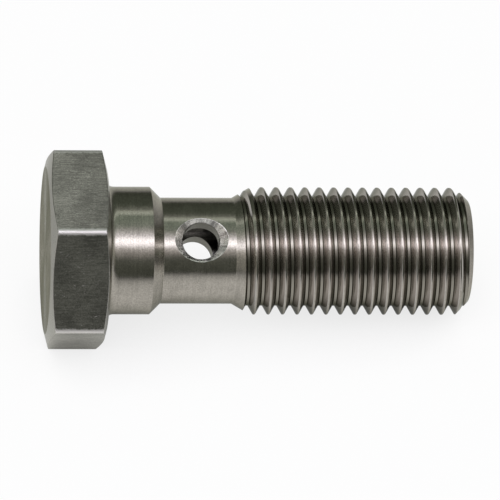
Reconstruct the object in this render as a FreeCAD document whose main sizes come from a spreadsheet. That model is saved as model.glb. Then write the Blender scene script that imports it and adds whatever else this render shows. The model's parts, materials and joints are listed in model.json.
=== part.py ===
# Banjo bolt: a hollow hexagon-headed bolt that holds a hose fitting and lets fluid through it.
#
# The bolt is turned from one hexagon bar. Its own axis is X: the face that clamps the fitting
# is at X = 0, the head lies behind it and the threaded tip points along +X. Two flats of the
# head are level. The finished body is then laid down as it comes to rest on a table, on the
# lower flat of the head and on the end of the threaded length at the tip, with +Z up.
import FreeCAD, Part
import os
import Sketcher
from FreeCAD import Placement, Rotation, Vector

# Driving dimensions, in millimetres and degrees
SIZES = {
    # Head
    "across_flats": 16.0,
    "head_height": 5.2,
    "head_rim_diameter": 14.6,
    "head_chamfer_angle": 15,
    # Collar under the head
    "neck_fillet": 0.7,
    "collar_length": 3.85,
    "shoulder_angle": 45,
    # Waist that the fluid runs round
    "waist_diameter": 9.23,
    "waist_end": 11.05,
    "run_in_angle": 30,
    # Threaded length, 7/16-20 UNF, over its crests
    "thread_diameter": 11.1125,
    "reach": 31.75,
    "tip_diameter": 8.97,
    "tip_chamfer_angle": 45,
    # Bore along the axis
    "bore_diameter": 4.75,
    "bore_beyond_port": 0.5,
    "drill_point_angle": 118,
    "mouth_chamfer": 0.3,
    # Port across the waist
    "port_distance": 8.05,
    "port_diameter": 3.25,
    "sink_diameter": 4.65,
    "sink_angle": 90,
    "port_angle": 27.5,
}

# Sizes that follow from the driving dimensions
FLAT = "sizes.across_flats / 2"
HEAD_RIM = "sizes.head_rim_diameter / 2"
MAJOR = "sizes.thread_diameter / 2"
WAIST = "sizes.waist_diameter / 2"
TIP = "sizes.tip_diameter / 2"
BORE = "sizes.bore_diameter / 2"
PORT = "sizes.port_diameter / 2"
SINK = "sizes.sink_diameter / 2"
THREAD_END = f"(sizes.reach - ({MAJOR} - {TIP}) / tan(sizes.tip_chamfer_angle))"

doc = FreeCAD.newDocument("banjo_bolt")
sheet = doc.addObject("Spreadsheet::Sheet", "sizes")
for row, (alias, size) in enumerate(SIZES.items(), start=1):
    sheet.set(f"A{row}", str(size))
    sheet.setAlias(f"A{row}", alias)
doc.recompute()

body = doc.addObject("PartDesign::Body", "banjo_bolt")
body.Label = "banjo_bolt"


def value(expression):
    """The number that an expression gives with the sizes in the sheet."""
    found = sheet.evalExpression(expression)
    return float(getattr(found, "Value", found))


def new_sketch(name, role):
    """An empty sketch on one of the body's own origin planes."""
    sketch = body.newObject("Sketcher::SketchObject", name)
    plane = next(item for item in body.Origin.OriginFeatures if item.Role == role)
    sketch.AttachmentSupport = (plane, [""])
    sketch.MapMode = "FlatFace"
    return sketch


def draw_outline(sketch, corners):
    """Draws a closed outline and holds each corner at its two expressions."""
    first = sketch.GeometryCount
    points = [Vector(value(across), value(up), 0) for across, up in corners]
    for start, end in zip(points, points[1:] + points[:1]):
        sketch.addGeometry(Part.LineSegment(start, end))
    for index, corner in enumerate(corners):
        line = first + index
        following = first + (index + 1) % len(corners)
        sketch.addConstraint(Sketcher.Constraint("Coincident", line, 2, following, 1))
        hold(sketch, line, "DistanceX", -2, points[index].x, corner[0])
        hold(sketch, line, "DistanceY", -1, points[index].y, corner[1])


def hold(sketch, line, direction, axis, size, expression):
    """Holds the start of a line on an axis, or at the distance from it that is given."""
    if abs(size) < 1e-9:
        sketch.addConstraint(Sketcher.Constraint("PointOnObject", line, 1, axis))
        return
    number = sketch.addConstraint(Sketcher.Constraint(direction, -1, 1, line, 1, size))
    sketch.setExpression(f"Constraints[{number}]", expression)


def turn(kind, name, sketch, axis):
    """Turns a sketch once round one of its own axes, as added or removed metal."""
    feature = body.newObject(f"PartDesign::{kind}", name)
    feature.Profile = sketch
    feature.ReferenceAxis = (sketch, [axis])
    feature.Angle = 360
    sketch.Visibility = False
    doc.recompute()
    return feature


def make_head():
    """Hexagon with both faces chamfered round their rims."""
    hexagon = new_sketch("head_hexagon", "YZ_Plane")
    corner = "sizes.across_flats / sqrt(3)"
    draw_outline(
        hexagon,
        [(f"{corner} * cos({60 * side})", f"{corner} * sin({60 * side})") for side in range(6)],
    )
    head = body.newObject("PartDesign::Pad", "head")
    head.Profile = hexagon
    head.Reversed = True
    head.setExpression("Length", "sizes.head_height")
    hexagon.Visibility = False
    doc.recompute()

    beyond = "sizes.across_flats"
    fall = f"({beyond} - {HEAD_RIM}) * tan(sizes.head_chamfer_angle)"
    rims = new_sketch("head_chamfers", "XZ_Plane")
    draw_outline(
        rims,
        [
            ("-sizes.head_height", HEAD_RIM),
            ("-sizes.head_height", beyond),
            (f"-sizes.head_height + {fall}", beyond),
        ],
    )
    draw_outline(rims, [("0", HEAD_RIM), ("0", beyond), (f"-{fall}", beyond)])
    turn("Groove", "head_rims", rims, "H_Axis")


def make_shank():
    """Collar, waist and threaded length in one turning, with a fillet where it meets the head."""
    step = f"({MAJOR} - {WAIST})"
    profile = new_sketch("shank_profile", "XZ_Plane")
    draw_outline(
        profile,
        [
            ("0", "0"),
            ("0", MAJOR),
            ("sizes.collar_length", MAJOR),
            (f"sizes.collar_length + {step} / tan(sizes.shoulder_angle)", WAIST),
            ("sizes.waist_end", WAIST),
            (f"sizes.waist_end + {step} / tan(sizes.run_in_angle)", MAJOR),
            (THREAD_END, MAJOR),
            ("sizes.reach", TIP),
            ("sizes.reach", "0"),
        ],
    )
    shank = turn("Revolution", "shank", profile, "H_Axis")

    neck = body.newObject("PartDesign::Fillet", "neck")
    neck.Base = (shank, [neck_edge(shank.Shape)])
    neck.setExpression("Radius", "sizes.neck_fillet")
    doc.recompute()


def neck_edge(shape):
    """The name of the circle where the collar meets the clamping face."""
    for number, edge in enumerate(shape.Edges, start=1):
        box = edge.BoundBox
        across = (box.ZLength, sheet.thread_diameter)
        if max(abs(box.XMin), abs(box.XMax)) < 1e-6 and abs(across[0] - across[1]) < 1e-6:
            return f"Edge{number}"
    raise LookupError("the collar does not meet the clamping face in a circle")


def make_bore():
    """Blind drilling from the tip that ends just past the port."""
    full = f"(sizes.port_distance - {PORT} - sizes.bore_beyond_port)"
    chamfer = "sizes.mouth_chamfer"
    drilling = new_sketch("bore_profile", "XZ_Plane")
    draw_outline(
        drilling,
        [
            (f"{full} - {BORE} / tan(sizes.drill_point_angle / 2)", "0"),
            (full, BORE),
            (f"sizes.reach - {chamfer}", BORE),
            (f"sizes.reach + {chamfer}", f"{BORE} + 2 * {chamfer}"),
            (f"sizes.reach + {chamfer}", "0"),
        ],
    )
    turn("Groove", "bore", drilling, "H_Axis")


def make_port():
    """Drilling right across the waist, countersunk where it comes out on each side."""
    outside = MAJOR
    spread = "tan(sizes.sink_angle / 2)"
    mouth = f"({SINK} + ({outside} - {WAIST}) * {spread})"
    floor = f"({WAIST} - ({SINK} - {PORT}) / {spread})"
    drilling = new_sketch("port_profile", "XZ_Plane")
    drilling.AttachmentOffset = Placement(Vector(1, 0, 0), Rotation(Vector(1, 0, 0), 1))
    drilling.setExpression(".AttachmentOffset.Base.x", "sizes.port_distance")
    drilling.setExpression(".AttachmentOffset.Rotation.Angle", "sizes.port_angle")
    draw_outline(
        drilling,
        [
            ("0", f"-{outside}"),
            (mouth, f"-{outside}"),
            (PORT, f"-{floor}"),
            (PORT, floor),
            (mouth, outside),
            ("0", outside),
        ],
    )
    turn("Groove", "port", drilling, "V_Axis")


def lay_down():
    """Lays the bolt on the head's lower flat and the thread's end, centred over the origin."""
    heel = f"(({FLAT} - {HEAD_RIM}) * tan(sizes.head_chamfer_angle))"
    tilt = f"atan(({FLAT} - {MAJOR}) / ({THREAD_END} + {heel}))"
    ends = f"(sizes.reach - sizes.head_height) / 2 * cos({tilt})"
    lean = f"({TIP} - {HEAD_RIM}) / 2 * sin({tilt})"
    body.Placement = Placement(Vector(0, 0, 1), Rotation(Vector(0, 1, 0), 1))
    body.setExpression(".Placement.Rotation.Angle", tilt)
    body.setExpression(".Placement.Base.x", f"-({ends} + {lean})")
    body.setExpression(".Placement.Base.z", f"{FLAT} * cos({tilt}) - {heel} * sin({tilt})")
    doc.recompute()


make_head()
make_shank()
make_bore()
make_port()
lay_down()

for item in doc.Objects:
    if {"Invalid", "Error"} & set(item.State):
        raise RuntimeError(f"{item.Name} did not build: {item.State}")
if body.Shape.isNull() or not body.Shape.isValid() or len(body.Shape.Solids) != 1:
    raise RuntimeError("the bolt is not one sound solid")

os.makedirs("parts", exist_ok=True)
body.Shape.exportStep(f"parts/{body.Label}.step")
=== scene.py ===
import json
import math

import bmesh
import bpy
from mathutils import Matrix, Vector


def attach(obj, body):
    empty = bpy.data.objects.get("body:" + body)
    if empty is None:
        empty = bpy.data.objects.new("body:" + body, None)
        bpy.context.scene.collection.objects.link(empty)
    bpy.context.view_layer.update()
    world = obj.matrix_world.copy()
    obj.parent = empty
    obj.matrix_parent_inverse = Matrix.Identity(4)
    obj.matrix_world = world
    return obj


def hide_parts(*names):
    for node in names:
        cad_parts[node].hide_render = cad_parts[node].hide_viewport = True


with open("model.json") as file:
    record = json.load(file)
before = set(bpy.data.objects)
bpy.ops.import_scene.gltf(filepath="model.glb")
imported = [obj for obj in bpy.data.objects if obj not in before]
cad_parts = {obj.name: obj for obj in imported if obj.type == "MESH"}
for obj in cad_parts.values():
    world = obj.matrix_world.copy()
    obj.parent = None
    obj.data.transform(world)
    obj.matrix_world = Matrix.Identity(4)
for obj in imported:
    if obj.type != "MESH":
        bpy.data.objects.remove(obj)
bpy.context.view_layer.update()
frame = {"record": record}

# The bolt's own axes and main radii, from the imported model's mounts
MM = 0.001
MOUNTS = {mount["name"]: mount for mount in frame["record"]["mounts"]}
SEAT = Vector(MOUNTS["seat"]["pos_m"])
AXIS = Vector(MOUNTS["seat"]["axis"])
SIDE = Vector((0, 1, 0))
UP = AXIS.cross(SIDE)
PORT_AXIS = Vector(MOUNTS["cross_port"]["axis"])
MAJOR = MOUNTS["collar"]["dims"]["r_mm"]
BORE = MOUNTS["axial_bore"]["dims"]["r_mm"]
PORT = MOUNTS["cross_port"]["dims"]["r_mm"]
HEAD_HEIGHT = MOUNTS["wrench_hex"]["dims"]["length_mm"]

# Head
APOTHEM = 16.0 / 2
HEAD_RIM = 14.6 / 2
HEAD_CHAMFER = math.radians(15)
HEX_CORNERS = 6
HEX_CORNER_ROUND = 0.42
HEAD_EDGE_ROUND = 0.10
FACE_EDGE_ROUND = 0.50

# Degrees from one corner of the hexagon to the next, and what follows from them
CORNER_STEP = 60
HEX_SIDE = math.radians(CORNER_STEP)
HEX_HALF_SIDE = math.radians(CORNER_STEP / 2)
HEX_CORNER = APOTHEM / math.cos(HEX_HALF_SIDE)
HEX_ROUND_CENTRE = (APOTHEM - HEX_CORNER_ROUND) / math.cos(HEX_HALF_SIDE)

# Shank
NECK_FILLET = 0.7
COLLAR_END = 3.85
SHOULDER = math.radians(45)
WAIST = 9.23 / 2
WAIST_END = 11.05
RUN_IN = math.radians(30)
REACH = 31.75
TIP = 8.97 / 2
TIP_CHAMFER = math.radians(45)
EDGE_ROUND = 0.05
TIP_ROUND = 0.10

# Thread, 7/16-20, cut right-hand
PITCH = 1.27
MINOR = 9.555 / 2
FLANK = math.radians(30)
CREST_ROUND = 0.06
ROOT_ROUND = 0.06
CUTTER_CLEAR = 0.08

# Half the width of the thread groove at its crests, by the standard
GROOVE_HALF = PITCH * 7 / 16

# How the groove's outline leaves its straight flanks, so that root and crests are soft
ROOT_HALF_FLAT = 0.04
ROOT_RISE = ROOT_ROUND / 4
ROOT_EASE = 0.005
CREST_STEP = CREST_ROUND / 3
CREST_EASE_LOW = 0.015
CREST_EASE_HIGH = 0.040
CREST_EASE_OUT = 0.045

# The groove starts on the underside of the bolt, where a crest is this far from the tip, and it
# runs from before the waist's end to beyond the tip
THREAD_FROM = math.radians(-90)
CREST_FROM_TIP = 2.04
TURNS_BEFORE_TIP = 16
TURNS = 18

# Bore and port
BORE_BEYOND_PORT = 0.5
DRILL_POINT = math.radians(118 / 2)
MOUTH_CHAMFER = 0.3
PORT_DISTANCE = 8.05
SINK = 4.65 / 2
SINK_ANGLE = math.radians(90 / 2)
SINK_ROUND = 0.08

# Eased lip round the countersink, and the rounds of the search for where it meets the waist
LIP_ROUND = 0.14
LIP_REACH = 0.3
LIP_ANGLE = math.radians(14)
LIP_TRIES = 12

# Mesh: steps of a rounded corner, how far its support points stand off, steps round the bolt and
# round one turn of thread, the shares of a hexagon corner's half angle that get a step of their
# own, and the angle from which an edge is sharp
ARC_STEPS = 5
POINTS_PER_CORNER = ARC_STEPS + 3
SUPPORT = 0.04
STEPS_ROUND = 180
STEPS_PER_TURN = 144
CORNER_SHARES = (-1.3, -1, -0.75, -0.5, -0.25, 0.25, 0.5, 0.75, 1, 1.3)
SHARP = math.radians(28)

# Finishes, in the order of the material slots
TURNED, FACED, FLATS, THREAD, DRILLED, SUNK, CHAMFERED = range(7)

# The finish of each run of an outline, in its order
BLANK_FINISHES = (FACED, CHAMFERED, FLATS, CHAMFERED) + (TURNED,) * 7 + (FACED,)
BORE_FINISHES = (DRILLED,) * 4
PORT_FINISHES = (SUNK,) * 4 + (DRILLED,) + (SUNK,) * 4


def rounded(corners):
    """Points of an outline whose corners (along, out, radius) are rounded off.

    Each corner gives an arc and one more point on the straight run at either side, so that
    shading stays flat there. The first and the last corner stay as they are.
    """
    points = [Vector(corners[0][:2])]
    for before, corner, after in zip(corners, corners[1:], corners[2:]):
        here = Vector(corner[:2])
        back = (Vector(before[:2]) - here).normalized()
        ahead = (Vector(after[:2]) - here).normalized()
        half_turn = (math.pi - back.angle(ahead)) / 2
        reach = corner[2] * math.tan(half_turn)
        centre = here + (back + ahead).normalized() * corner[2] / math.cos(half_turn)
        first = here + back * reach - centre
        last = here + ahead * reach - centre
        points.append(here + back * (reach + SUPPORT))
        for step in range(ARC_STEPS + 1):
            points.append(centre + corner[2] * first.slerp(last, step / ARC_STEPS))
        points.append(here + ahead * (reach + SUPPORT))
    points.append(Vector(corners[-1][:2]))
    return points


def hex_radius(angle):
    """Distance from the axis to the hexagon at an angle, with its corners slightly rounded."""
    off_corner = (angle + HEX_HALF_SIDE) % HEX_SIDE - HEX_HALF_SIDE
    if abs(off_corner) < hex_round_angle():
        across = HEX_ROUND_CENTRE * math.sin(off_corner)
        along = HEX_ROUND_CENTRE * math.cos(off_corner)
        return along + math.sqrt(HEX_CORNER_ROUND**2 - across**2)
    return APOTHEM / math.cos(HEX_HALF_SIDE - abs(off_corner))


def hex_round_angle():
    """Half the angle that a rounded hexagon corner takes up, seen from the axis."""
    along = HEX_ROUND_CENTRE + HEX_CORNER_ROUND * math.cos(HEX_HALF_SIDE)
    return math.atan2(HEX_CORNER_ROUND * math.sin(HEX_HALF_SIDE), along)


def even_angles():
    """Angles round the bolt, evenly spaced."""
    return [math.tau * step / STEPS_ROUND for step in range(STEPS_ROUND)]


def angles_round_head():
    """Angles round the bolt, evenly spaced and closer together at the hexagon's corners."""
    near = hex_round_angle()
    corners = [math.radians(CORNER_STEP * corner) for corner in range(HEX_CORNERS)]
    close = [corner + near * share for corner in corners for share in CORNER_SHARES]
    return sorted(angle % math.tau for angle in even_angles() + close)


def blank_outline(angle):
    """Outline of the bolt before it is threaded and drilled, in the half plane at an angle."""
    out = hex_radius(angle)
    fall = (out - HEAD_RIM) * math.tan(HEAD_CHAMFER)
    step = MAJOR - WAIST
    return rounded(
        [
            (-HEAD_HEIGHT, 0, 0),
            (-HEAD_HEIGHT, HEAD_RIM, FACE_EDGE_ROUND),
            (-HEAD_HEIGHT + fall, out, HEAD_EDGE_ROUND),
            (-fall, out, HEAD_EDGE_ROUND),
            (0, HEAD_RIM, FACE_EDGE_ROUND),
            (0, MAJOR, NECK_FILLET),
            (COLLAR_END, MAJOR, EDGE_ROUND),
            (COLLAR_END + step / math.tan(SHOULDER), WAIST, EDGE_ROUND),
            (WAIST_END, WAIST, EDGE_ROUND),
            (WAIST_END + step / math.tan(RUN_IN), MAJOR, EDGE_ROUND),
            (REACH - (MAJOR - TIP) / math.tan(TIP_CHAMFER), MAJOR, EDGE_ROUND),
            (REACH, TIP, TIP_ROUND),
            (REACH, 0, 0),
        ]
    )


def turned_mesh(name, outline_at, angles, finishes):
    """Closed solid made by turning an outline round X; the outline may differ with the angle.

    The finish changes in the middle of each corner of the outline.
    """
    mesh = bmesh.new()
    outlines = [outline_at(angle) for angle in angles]
    count = len(outlines[0])
    start = mesh.verts.new((outlines[0][0].x, 0, 0))
    end = mesh.verts.new((outlines[0][-1].x, 0, 0))
    rows = []
    for angle, outline in zip(angles, outlines):
        row = [start]
        for point in outline[1:-1]:
            at = (point.x, point.y * math.cos(angle), point.y * math.sin(angle))
            row.append(mesh.verts.new(at))
        rows.append(row + [end])
    for row, following in zip(rows, rows[1:] + rows[:1]):
        for index in range(count - 1):
            corners = [row[index], row[index + 1], following[index + 1], following[index]]
            face = mesh.faces.new(dict.fromkeys(corners))
            run = (index + POINTS_PER_CORNER // 2) // POINTS_PER_CORNER
            face.material_index = finishes[run]
    return as_object(name, mesh)


def as_object(name, mesh):
    """A linked object from a bmesh, with its faces turned outwards."""
    bmesh.ops.recalc_face_normals(mesh, faces=mesh.faces)
    data = bpy.data.meshes.new(name)
    mesh.to_mesh(data)
    mesh.free()
    piece = bpy.data.objects.new(name, data)
    bpy.context.scene.collection.objects.link(piece)
    return piece


def groove_half_width(out):
    """Half the width of the thread groove between its flanks, at a distance from the axis."""
    return GROOVE_HALF - (MAJOR - out) * math.tan(FLANK)


def groove_outline():
    """Cross-section of the thread groove as (along, out), with soft crests and a soft root."""
    root = MINOR + ROOT_ROUND
    crest = MAJOR - CREST_ROUND
    side = [
        (ROOT_HALF_FLAT, MINOR),
        (groove_half_width(MINOR), MINOR + ROOT_RISE),
        (groove_half_width(root) + ROOT_EASE, root),
        (groove_half_width(root + SUPPORT), root + SUPPORT),
        (groove_half_width(crest - SUPPORT), crest - SUPPORT),
        (groove_half_width(crest), crest),
        (groove_half_width(MAJOR - CREST_STEP) + CREST_EASE_LOW, MAJOR - CREST_STEP),
        (groove_half_width(MAJOR) + CREST_EASE_HIGH, MAJOR + CREST_STEP),
        (groove_half_width(MAJOR) + CREST_EASE_OUT, MAJOR + CUTTER_CLEAR),
    ]
    return [(-along, out) for along, out in reversed(side)] + side


def groove_cutter():
    """The thread groove as a solid wound round the bolt from the waist to beyond the tip."""
    mesh = bmesh.new()
    outline = groove_outline()
    first = REACH - CREST_FROM_TIP + PITCH / 2 - TURNS_BEFORE_TIP * PITCH
    rings = []
    for step in range(TURNS * STEPS_PER_TURN + 1):
        turn = step / STEPS_PER_TURN
        angle = math.tau * turn + THREAD_FROM
        middle = first + PITCH * turn
        rings.append(
            [
                mesh.verts.new((middle + along, out * math.cos(angle), out * math.sin(angle)))
                for along, out in outline
            ]
        )
    for ring, following in zip(rings, rings[1:]):
        for index in range(len(outline)):
            beside = (index + 1) % len(outline)
            corners = [ring[index], ring[beside], following[beside], following[index]]
            mesh.faces.new(corners)
    mesh.faces.new(rings[0])
    mesh.faces.new(rings[-1])
    for face in mesh.faces:
        face.material_index = THREAD
    return as_object("groove_cutter", mesh)


def bore_drill():
    """The bore as a solid, with its drill point and the chamfer at its mouth."""
    full = PORT_DISTANCE - PORT - BORE_BEYOND_PORT
    outline = rounded(
        [
            (full - BORE / math.tan(DRILL_POINT), 0, 0),
            (full, BORE, EDGE_ROUND),
            (REACH - MOUTH_CHAMFER, BORE, EDGE_ROUND),
            (REACH + MOUTH_CHAMFER, BORE + 2 * MOUTH_CHAMFER, EDGE_ROUND),
            (REACH + MOUTH_CHAMFER, 0, 0),
        ]
    )
    return turned_mesh("bore_drill", lambda angle: outline, even_angles(), BORE_FINISHES)


def port_outline(angle):
    """Outline of the port's drill in the half plane at an angle from the bolt's own axis.

    Each countersink ends in an eased lip that follows the round waist.
    """
    spread = math.tan(SINK_ANGLE)
    floor = WAIST - (SINK - PORT) / spread
    high = WAIST
    for _ in range(LIP_TRIES):
        out = SINK + (high - WAIST) * spread
        high = math.sqrt(WAIST**2 - (out * math.sin(angle)) ** 2)
    fall = out * math.sin(angle) ** 2 / high
    rise = LIP_REACH * (math.tan(LIP_ANGLE) - fall)
    above = MAJOR + LIP_REACH
    side = [
        (floor, PORT, SINK_ROUND),
        (high, out, LIP_ROUND),
        (high + rise, out + LIP_REACH, EDGE_ROUND),
        (above, out + 2 * LIP_REACH, EDGE_ROUND),
        (above, 0, 0),
    ]
    return rounded([(-along, out, ease) for along, out, ease in reversed(side)] + side)


def port_drill():
    """The port as a solid right across the waist, with a countersink at each end."""
    drill = turned_mesh("port_drill", port_outline, even_angles(), PORT_FINISHES)
    port = Vector((PORT_AXIS.dot(AXIS), PORT_AXIS.dot(SIDE), PORT_AXIS.dot(UP)))
    bolt_axis = Vector((1, 0, 0))
    turn = Matrix((port, bolt_axis, port.cross(bolt_axis))).transposed().to_4x4()
    drill.data.transform(Matrix.Translation((PORT_DISTANCE, 0, 0)) @ turn)
    return drill


def cut(piece, tool):
    """Takes a tool's solid out of a piece, and drops the tool."""
    change = piece.modifiers.new("cut", "BOOLEAN")
    change.operation = "DIFFERENCE"
    change.solver = "EXACT"
    change.object = tool
    evaluated = piece.evaluated_get(bpy.context.evaluated_depsgraph_get())
    piece.modifiers.clear()
    old = piece.data
    piece.data = bpy.data.meshes.new_from_object(evaluated)
    bpy.data.meshes.remove(old)
    bpy.data.objects.remove(tool)


def shade(piece):
    """Smooth shading, with true edges round the countersinks and wherever the surface turns sharply."""
    mesh = bmesh.new()
    mesh.from_mesh(piece.data)
    for face in mesh.faces:
        face.smooth = True
    for edge in mesh.edges:
        finishes = {face.material_index for face in edge.link_faces}
        rim = finishes == {SUNK, TURNED}
        edge.smooth = not rim and len(edge.link_faces) == 2 and edge.calc_face_angle() < SHARP
    mesh.to_mesh(piece.data)
    mesh.free()


def make_bolt(materials):
    """The bolt in its place: a turned blank with the thread, the bore and the port cut out of it."""
    bolt = turned_mesh("bolt", blank_outline, angles_round_head(), BLANK_FINISHES)
    tools = [groove_cutter(), bore_drill(), port_drill()]
    for thing in [bolt] + tools:
        for material in materials:
            thing.data.materials.append(material)
    for tool in tools:
        cut(bolt, tool)
    shade(bolt)
    axes = Matrix((AXIS, SIDE, UP)).transposed().to_4x4()
    bolt.data.transform(Matrix.Translation(SEAT) @ axes @ Matrix.Scale(MM, 4))
    return bolt


# Noise patterns: how fine they are to the millimetre, levels of detail, and strength of the finer
# levels. The chatter marks of a tool have their fineness in the finish.
WIDE_RINGS = (2.6, 2.0, 0.6)
FINE_RINGS = (12.0, 4.0, 0.75)
GRAIN = (7.0, 4.0, 0.8)
CLOUD = (0.9, 3.0, 0.6)
CHATTER_DETAIL = (2.0, 0.5)
BAR_LINES = (9.0, 4.0, 0.8)
BAR_GRAIN = (8.0, 4.0, 0.8)
BAR_CLOUD = (0.35, 2.0, 0.5)
BAR_NICKS = (2.2, 2.0, 0.5)
RAGGED_EDGE = (3.0, 3.0, 0.6)

# Parts of a machined tone: fine and wide rings in its ringed share, clouds, and grain for the rest
FINE_PART = 0.7
WIDE_PART = 0.3
CLOUD_PART = 0.2

# Shares of the patterns in roughness and relief, and for the bar in the tone too
MACHINED_ROUGH = {"rings": 0.4, "grain": 0.3, "cloud": 0.3}
MACHINED_RELIEF = {"rings": 0.7, "grain": 0.3}
CHATTER_TONE = {"plain": 0.5, "chatter": 0.5}
CHATTER_RELIEF = {"plain": 0.5, "chatter": 1.5}
BAR_TONE = {"lines": 0.35, "grain": 0.38, "cloud": 0.27}
BAR_ROUGH = {"grain": 0.6, "lines": 0.4}
BAR_RELIEF = {"grain": 0.5, "lines": 0.5, "nicks": -0.8}

# The middle range of a blend of patterns, which is spread over all of a finish's tone or roughness
TONE_RANGE = (0.42, 0.58)
ROUGH_RANGE = (0.4, 0.6)

# A nick is at its deepest below the first level of its noise, and above the second there is none
NICK_RANGE = (0.27, 0.32)

# Lines on the bar are drawn out along it by the inverse of this share
LINE_STRETCH = 0.11

# Gloss is drawn out across the tool marks, a quarter of a turn from the way they run
GLOSS_TURN = 0.25

# Worn edges of the hexagon: where they start and are full, as distances from the axis. Half of the
# raggedness is added, because its noise adds that much on average.
WORN_RAGGED = 0.12
WORN_FROM = HEX_CORNER - 0.20 + WORN_RAGGED / 2
WORN_TO = HEX_CORNER - 0.12 + WORN_RAGGED / 2

# Each finish has a colour, the shares of it in dark and light places, a range of roughness, how far
# its gloss is drawn out, its tint at a grazing angle and its relief in millimetres. Machined ones
# have the ringed share of the tone. Some have a second colour with added roughness, for worn edges
# on the bar and as painted shade in the thread's roots, the height above the thread's root that
# this painted shade reaches, or the fineness of chatter marks.
STEEL = (0.358, 0.336, 0.296)
GRAZING = (0.62, 0.63, 0.58)
TURNED_FINISH = {
    "colour": STEEL, "contrast": (0.76, 1.22), "roughness": (0.15, 0.27), "anisotropy": 0.6,
    "grazing": GRAZING, "depth": 0.005, "ringed": 0.35,
}
FACED_FINISH = {
    "colour": (0.35, 0.342, 0.305), "contrast": (0.66, 1.3), "roughness": (0.24, 0.38),
    "anisotropy": 0.85, "grazing": (0.30, 0.30, 0.23), "depth": 0.006, "ringed": 0.65,
}
BAR_FINISH = {
    "colour": (0.465, 0.44, 0.425), "contrast": (0.60, 1.36), "roughness": (0.13, 0.24),
    "anisotropy": 0.0, "grazing": GRAZING, "depth": 0.007, "wear_and_painted_shade": ((0.70, 0.68, 0.66), 0.34),
}
# The thread's dark second colour is painted shade: it darkens the grooves at their root and is gone a
# little above it.
THREAD_FINISH = {
    "colour": (0.55, 0.52, 0.49), "contrast": (0.90, 1.07), "roughness": (0.10, 0.17),
    "anisotropy": 0.4, "grazing": (0.32, 0.33, 0.30), "depth": 0.0007, "ringed": 0.6,
    "painted_root_shade": 0.14, "wear_and_painted_shade": ((0.26, 0.245, 0.21), 0.08),
}
DRILLED_FINISH = {
    "colour": (0.31, 0.30, 0.28), "contrast": (0.6, 1.3), "roughness": (0.12, 0.26),
    "anisotropy": 0.6, "grazing": (0.5, 0.5, 0.46), "depth": 0.010, "ringed": 0.5,
}
SUNK_FINISH = {
    "colour": (0.70, 0.69, 0.65), "contrast": (0.50, 1.35), "roughness": (0.16, 0.40),
    "anisotropy": 0.3, "grazing": (0.9, 0.9, 0.86), "depth": 0.020, "ringed": 0.3, "chatter": 5.0,
}
CHAMFER_FINISH = {
    "colour": (0.35, 0.345, 0.315), "contrast": (0.8, 1.2), "roughness": (0.24, 0.38),
    "anisotropy": 0.5, "grazing": (0.8, 0.8, 0.76), "depth": 0.004, "ringed": 0.5,
}


class Nodes:
    """Short calls for the nodes of one material or world."""

    def __init__(self, owner):
        owner.use_nodes = True
        self.tree = owner.node_tree
        self.tree.nodes.clear()

    def add(self, kind, inputs=(), **settings):
        """A node with its settings, and with inputs given by name or number as values or links."""
        node = self.tree.nodes.new("ShaderNode" + kind)
        for key, setting in settings.items():
            setattr(node, key, setting)
        for key, given in dict(inputs).items():
            if isinstance(given, bpy.types.NodeSocket):
                self.tree.links.new(given, node.inputs[key])
            else:
                node.inputs[key].default_value = given
        return node

    def math(self, operation, *values):
        """One step of arithmetic with numbers."""
        return self.add("Math", dict(enumerate(values)), operation=operation).outputs[0]

    def vector(self, operation, *values):
        """One step of arithmetic with vectors, which gives a number for a length or dot product."""
        node = self.add("VectorMath", dict(enumerate(values)), operation=operation)
        scalar = operation in ("LENGTH", "DOT_PRODUCT")
        return node.outputs["Value" if scalar else "Vector"]

    def scaled(self, vector, factor):
        """A vector times a number."""
        node = self.add("VectorMath", {0: vector, "Scale": factor}, operation="SCALE")
        return node.outputs["Vector"]

    def blend(self, patterns, shares):
        """The sum of the patterns that are named, each taken by its share."""
        total = 0.0
        for name, share in shares.items():
            total = self.math("MULTIPLY_ADD", patterns[name], share, total)
        return total

    def noise(self, place, scale, detail, roughness):
        """Noise from 0 to 1 at a place."""
        inputs = {"Vector": place, "Scale": scale, "Detail": detail, "Roughness": roughness}
        return self.add("TexNoise", inputs).outputs["Fac"]

    def spread(self, value, low, high, to_low, to_high):
        """A value brought from one range to another, and kept inside it."""
        inputs = {0: value, 1: low, 2: high, 3: to_low, 4: to_high}
        return self.add("MapRange", inputs, clamp=True).outputs[0]

    def mix(self, share, first, second):
        """A colour between two others, by sockets 0, 6 and 7, which a Mix node uses for colours."""
        return self.add("Mix", {0: share, 6: first, 7: second}, data_type="RGBA").outputs[2]


def lathe_place(nodes, origin, axis):
    """Where a point is for a tool that turns round an axis, in millimetres.

    Gives the point, the distance along the axis, the distance from it, and the way the marks run.
    """
    point = nodes.scaled(nodes.add("TexCoord").outputs["Object"], 1 / MM)
    away = nodes.vector("SUBTRACT", point, tuple(origin / MM))
    along = nodes.vector("DOT_PRODUCT", away, tuple(axis))
    marks = nodes.vector("CROSS_PRODUCT", tuple(axis), away)
    out = nodes.vector("LENGTH", marks)
    return point, along, out, nodes.vector("NORMALIZE", marks)


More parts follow.
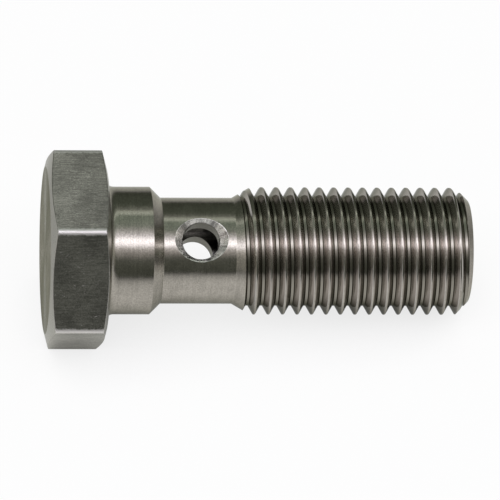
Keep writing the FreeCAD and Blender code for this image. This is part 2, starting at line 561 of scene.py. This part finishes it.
def finish_steel(nodes, finish, tone, rough, height, marks, wear_and_painted_shade):
    """Steel that goes from dark to light with a tone, with its roughness, relief and a second colour.

    The share of the finish's second colour is given, for worn edges on the bar and as painted
    shade in the thread's roots.
    """
    second_colour, added_roughness = finish.get("wear_and_painted_shade", (finish["colour"], 0.0))
    dark = tuple(channel * finish["contrast"][0] for channel in finish["colour"]) + (1,)
    light = tuple(channel * finish["contrast"][1] for channel in finish["colour"]) + (1,)
    colour = nodes.mix(nodes.spread(tone, *TONE_RANGE, 0.0, 1.0), dark, light)
    roughness = nodes.spread(rough, *ROUGH_RANGE, *finish["roughness"])
    bump = nodes.add("Bump", {"Height": height, "Strength": 1.0, "Distance": finish["depth"] * MM})
    shader = nodes.add(
        "BsdfPrincipled",
        {
            "Base Color": nodes.mix(wear_and_painted_shade, colour, second_colour + (1,)),
            "Metallic": 1.0,
            "Roughness": nodes.math("ADD", roughness, nodes.math("MULTIPLY", wear_and_painted_shade, added_roughness)),
            "Anisotropic": finish["anisotropy"],
            "Anisotropic Rotation": GLOSS_TURN,
            "Specular Tint": finish["grazing"] + (1,),
            "Tangent": marks,
            "Normal": bump.outputs[0],
        },
    )
    nodes.add("OutputMaterial", {"Surface": shader.outputs[0]})


def machined_steel(name, finish, origin, axis, rings_along):
    """Steel cut by a tool that ran round an axis: fine rings, grain and a cloudy tone."""
    material = bpy.data.materials.new(name)
    nodes = Nodes(material)
    point, along, out, marks = lathe_place(nodes, origin, axis)
    line = nodes.add("CombineXYZ", {"X": along if rings_along else out}).outputs[0]
    patterns = {
        "wide": nodes.noise(line, *WIDE_RINGS),
        "rings": nodes.noise(line, *FINE_RINGS),
        "grain": nodes.noise(point, *GRAIN),
        "cloud": nodes.noise(point, *CLOUD),
    }
    ringed = finish["ringed"]
    tone_shares = {
        "rings": FINE_PART * ringed,
        "wide": WIDE_PART * ringed,
        "cloud": CLOUD_PART,
        "grain": 1 - CLOUD_PART - ringed,
    }
    tone = nodes.blend(patterns, tone_shares)
    rough = nodes.blend(patterns, MACHINED_ROUGH)
    height = nodes.blend(patterns, MACHINED_RELIEF)
    if "chatter" in finish:
        chatter = nodes.noise(marks, finish["chatter"], *CHATTER_DETAIL)
        tone = nodes.blend({"plain": tone, "chatter": chatter}, CHATTER_TONE)
        height = nodes.blend({"plain": height, "chatter": chatter}, CHATTER_RELIEF)
    # Painted shade: the thread's dark second colour darkens its grooves from the root up to the given
    # height.
    painted_root_shade = 0.0
    if "painted_root_shade" in finish:
        painted_root_shade = nodes.spread(out, MINOR, MINOR + finish["painted_root_shade"], 1.0, 0.0)
    finish_steel(nodes, finish, tone, rough, height, marks, painted_root_shade)
    return material


def bar_steel(name, finish):
    """Drawn bar left as it came: fine lines along it, grain, small nicks, and bright worn edges."""
    material = bpy.data.materials.new(name)
    nodes = Nodes(material)
    point, along, out, marks = lathe_place(nodes, SEAT, AXIS)
    shrink = nodes.scaled(tuple(AXIS), nodes.math("MULTIPLY", along, LINE_STRETCH - 1))
    patterns = {
        "lines": nodes.noise(nodes.vector("ADD", point, shrink), *BAR_LINES),
        "grain": nodes.noise(point, *BAR_GRAIN),
        "cloud": nodes.noise(point, *BAR_CLOUD),
        "nicks": nodes.spread(nodes.noise(point, *BAR_NICKS), *NICK_RANGE, 1.0, 0.0),
    }
    tone = nodes.blend(patterns, BAR_TONE)
    rough = nodes.blend(patterns, BAR_ROUGH)
    height = nodes.blend(patterns, BAR_RELIEF)
    ragged = nodes.math("MULTIPLY_ADD", nodes.noise(point, *RAGGED_EDGE), WORN_RAGGED, out)
    worn = nodes.spread(ragged, WORN_FROM, WORN_TO, 0.0, 1.0)
    finish_steel(nodes, finish, tone, rough, height, marks, worn)
    return material


def make_materials():
    """The finishes of the bolt, in the order of its material slots."""
    port_middle = SEAT + AXIS * PORT_DISTANCE * MM
    return [
        machined_steel("turned_steel", TURNED_FINISH, SEAT, AXIS, True),
        machined_steel("faced_steel", FACED_FINISH, SEAT, AXIS, False),
        bar_steel("bar_steel", BAR_FINISH),
        machined_steel("threaded_steel", THREAD_FINISH, SEAT, AXIS, True),
        machined_steel("drilled_steel", DRILLED_FINISH, port_middle, PORT_AXIS, True),
        machined_steel("countersunk_steel", SUNK_FINISH, port_middle, PORT_AXIS, True),
        machined_steel("chamfered_steel", CHAMFER_FINISH, SEAT, AXIS, False),
    ]


# Floor, in metres
FLOOR_SIZE = 8.0
FLOOR_COLOUR = (0.95, 0.95, 0.95, 1)
FLOOR_GLOW = 0.93
BACKGROUND = (1, 1, 1, 1)

# The glow fades where the bolt closes the floor off, as its shadow does: to black in reflections,
# and to the share CONTACT_SEEN of itself as the camera sees it
CONTACT_REACH = 0.010
CONTACT_OPEN = 0.71
CONTACT_SEEN = 0.80
CONTACT_SAMPLES = 8

# In reflections the floor has its full glow near the bolt and grows dim further out, to about two
# thirds at this distance from the middle
POOL_REACH = 0.060
POOL_BRIGHT = 1.33


def make_floor():
    """Matt white floor, with a share of plain white where the camera or a reflection sees it."""
    mesh = bmesh.new()
    bmesh.ops.create_grid(mesh, x_segments=1, y_segments=1, size=FLOOR_SIZE / 2)
    floor = as_object("floor", mesh)
    material = bpy.data.materials.new("floor")
    nodes = Nodes(material)
    matt = nodes.add("BsdfDiffuse", {"Color": FLOOR_COLOUR}).outputs[0]
    contact = nodes.add("AmbientOcclusion", {"Distance": CONTACT_REACH}, samples=CONTACT_SAMPLES)
    path = nodes.add("LightPath").outputs
    darkest = nodes.math("MULTIPLY", path["Is Camera Ray"], CONTACT_SEEN)
    shade = nodes.spread(contact.outputs["AO"], 0.0, CONTACT_OPEN, darkest, 1.0)
    place = nodes.add("TexCoord").outputs["Object"]
    away = nodes.math("DIVIDE", nodes.vector("LENGTH", place), POOL_REACH)
    pool = nodes.math("DIVIDE", POOL_BRIGHT, nodes.math("ADD", away, 1.0))
    pool = nodes.math("MAXIMUM", nodes.math("MINIMUM", pool, 1.0), path["Is Camera Ray"])
    glow = nodes.math("MULTIPLY", shade, pool)
    white = nodes.add("Emission", {"Color": BACKGROUND, "Strength": glow}).outputs[0]
    seen = nodes.math("MAXIMUM", path["Is Camera Ray"], path["Is Glossy Ray"])
    seen = nodes.math("MAXIMUM", seen, path["Is Transmission Ray"])
    share = nodes.math("MULTIPLY", seen, FLOOR_GLOW)
    mixed = nodes.add("MixShader", {0: share, 1: matt, 2: white}).outputs[0]
    nodes.add("OutputMaterial", {"Surface": mixed})
    floor.data.materials.append(material)


# The room by elevation in degrees, from the front horizon over the top to the back horizon: a long
# soft box high in front, a thin strip of light behind it, and dim walls of a slightly green grey
ROOM = [
    (0, (0.105, 0.113, 0.097)),
    (22, (0.137, 0.146, 0.125)),
    (33, (0.17, 0.18, 0.16)),
    (44, (0.50, 0.48, 0.47)),
    (54, (1.00, 0.96, 0.98)),
    (61, (3.00, 2.94, 3.24)),
    (67, (3.65, 3.58, 3.95)),
    (72, (2.60, 2.56, 2.82)),
    (78, (1.30, 1.27, 1.36)),
    (88, (0.66, 0.67, 0.66)),
    (95, (0.36, 0.41, 0.36)),
    (117, (0.33, 0.39, 0.33)),
    (119.5, (0.90, 0.97, 0.88)),
    (125, (0.90, 0.97, 0.88)),
    (128.5, (0.30, 0.32, 0.28)),
    (131, (0.26, 0.275, 0.245)),
    (140, (0.125, 0.145, 0.115)),
    (180, (0.09, 0.10, 0.08)),
]

# The room's colours are held as shares of this strength, because a ramp's colours end at 1
BRIGHTEST = 4.0

# The walls beyond the two ends of the bolt, and how far out along it they take over, as a share of
# the way straight along it
HEAD_WALL = (1.15, 1.12, 1.06, 1)
TIP_WALL = (0.54, 0.54, 0.49, 1)
WALL_FROM = 0.70
WALL_TO = 0.95

# Elevations in degrees between which the walls grow dim towards the back, and the share that is left
WALL_LIT = 88
WALL_DIM = 118
WALL_LEFT = 0.30


def make_room():
    """World that is the same along the bolt, with a plain pale wall beyond each of its ends."""
    world = bpy.data.worlds.new("studio")
    bpy.context.scene.world = world
    nodes = Nodes(world)
    way = nodes.add("SeparateXYZ", {0: nodes.add("TexCoord").outputs["Generated"]}).outputs
    front = nodes.math("MULTIPLY", way["Y"], -1.0)
    turn = nodes.math("ARCTAN2", way["Z"], front)
    ramp = nodes.add("ValToRGB", {"Fac": nodes.math("DIVIDE", turn, math.pi)})
    stops = ramp.color_ramp.elements
    stops.remove(stops[1])
    for elevation, colour in ROOM:
        stop = stops.new(elevation / 180) if elevation else stops[0]
        stop.color = tuple(channel / BRIGHTEST for channel in colour) + (1,)
    inputs = {"Color": ramp.outputs["Color"], "Strength": BRIGHTEST}
    room = nodes.add("Background", inputs).outputs[0]
    past_tip = nodes.math("GREATER_THAN", way["X"], 0.0)
    lit = nodes.spread(turn, math.radians(WALL_LIT), math.radians(WALL_DIM), 1.0, WALL_LEFT)
    paint = nodes.mix(past_tip, HEAD_WALL, TIP_WALL)
    wall = nodes.add("Background", {"Color": paint, "Strength": lit}).outputs[0]
    aside = nodes.math("ABSOLUTE", way["X"])
    share = nodes.spread(aside, WALL_FROM, WALL_TO, 0.0, 1.0)
    seen = nodes.add("MixShader", {0: share, 1: room, 2: wall}).outputs[0]
    nodes.add("OutputWorld", {"Surface": seen})


# Camera, turned a little to the head's side and rolled as in the photograph. Angles are in degrees,
# the distance and the near limit in metres, and the aim along the bolt and the rise in millimetres.
VIEW_ELEVATION = 50.2
VIEW_SWING = -4.1
VIEW_DISTANCE = 0.480
VIEW_NEAR = 0.01
VIEW_ROLL = 0.4
VIEW_ANGLE = 5.2
VIEW_ALONG = 12.7
VIEW_RISE = 0.07


def make_camera():
    """The scene's camera, aimed at a place on the bolt's axis."""
    data = bpy.data.cameras.new("camera")
    data.sensor_fit = "HORIZONTAL"
    data.angle = math.radians(VIEW_ANGLE)
    data.clip_start = VIEW_NEAR
    camera = bpy.data.objects.new("camera", data)
    high = math.radians(VIEW_ELEVATION)
    aside = math.radians(VIEW_SWING)
    level = math.cos(high)
    towards = Vector((math.sin(aside) * level, -math.cos(aside) * level, math.sin(high)))
    aim = SEAT + AXIS * VIEW_ALONG * MM
    turn = towards.to_track_quat("Z", "Y").to_matrix().to_4x4()
    roll = Matrix.Rotation(math.radians(VIEW_ROLL), 4, "Z")
    rise = Matrix.Translation((0, VIEW_RISE * MM, 0))
    camera.matrix_world = Matrix.Translation(aim + towards * VIEW_DISTANCE) @ turn @ roll @ rise
    bpy.context.scene.collection.objects.link(camera)
    bpy.context.scene.camera = camera


bolt = make_bolt(make_materials())
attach(bolt, "root")
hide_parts("banjo_bolt")
make_floor()
make_room()
make_camera()
bpy.context.scene.view_settings.view_transform = "Standard"
